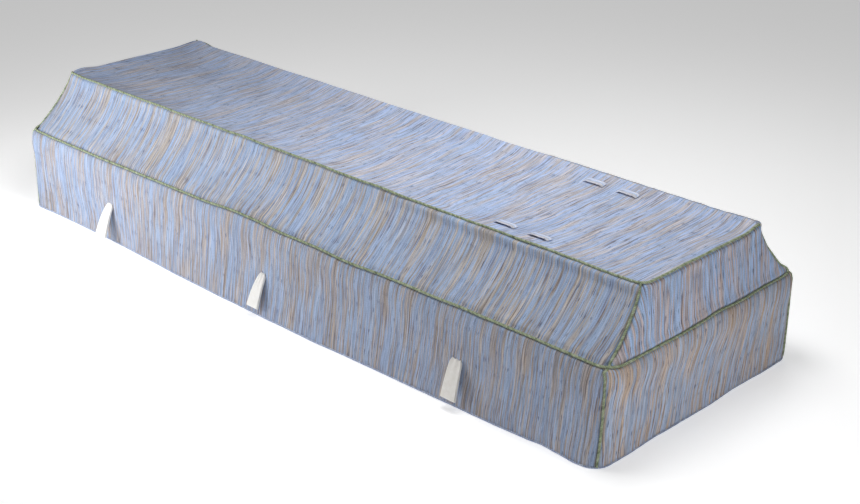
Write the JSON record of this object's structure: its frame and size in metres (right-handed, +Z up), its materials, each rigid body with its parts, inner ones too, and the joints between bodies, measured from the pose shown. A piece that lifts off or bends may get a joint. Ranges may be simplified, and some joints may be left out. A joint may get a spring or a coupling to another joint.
{
  "type": "banana leaf coffin",
  "caption": "Tapering open box with a hollow hipped lift-off lid, covered in woven banana leaf cloth, edged with twisted cord and carried by webbing loops on its long sides.",
  "frame": {"origin": "on the floor, under the middle of the box", "axes": "+X along the coffin towards its narrower end, +Y across it, +Z up"},
  "size_m": [1.978, 0.7666, 0.3532],
  "materials": {
    "cloth": "woven leaf fibre cloth in blue and tan streaks",
    "loop_cloth": "the same cloth, folded flat",
    "cord": "twisted green cord",
    "webbing": "white cotton webbing"
  },
  "bodies": {
    "root": {"base": "cloth", "lid": "cloth", "lid_top_piping": "cord", "eave_piping": "cord", "lid_hip_piping_1": "cord", "lid_hip_piping_2": "cord", "lid_hip_piping_3": "cord", "lid_hip_piping_4": "cord", "base_corner_piping_1": "cord", "base_corner_piping_2": "cord", "base_corner_piping_3": "cord", "base_corner_piping_4": "cord", "handle_1": "webbing", "handle_2": "webbing", "handle_3": "webbing", "handle_4": "webbing", "handle_5": "webbing", "handle_6": "webbing", "lid_loop_1": "loop_cloth", "lid_loop_2": "loop_cloth", "lid_loop_3": "loop_cloth", "lid_loop_4": "loop_cloth"}
  },
  "joints": []
}
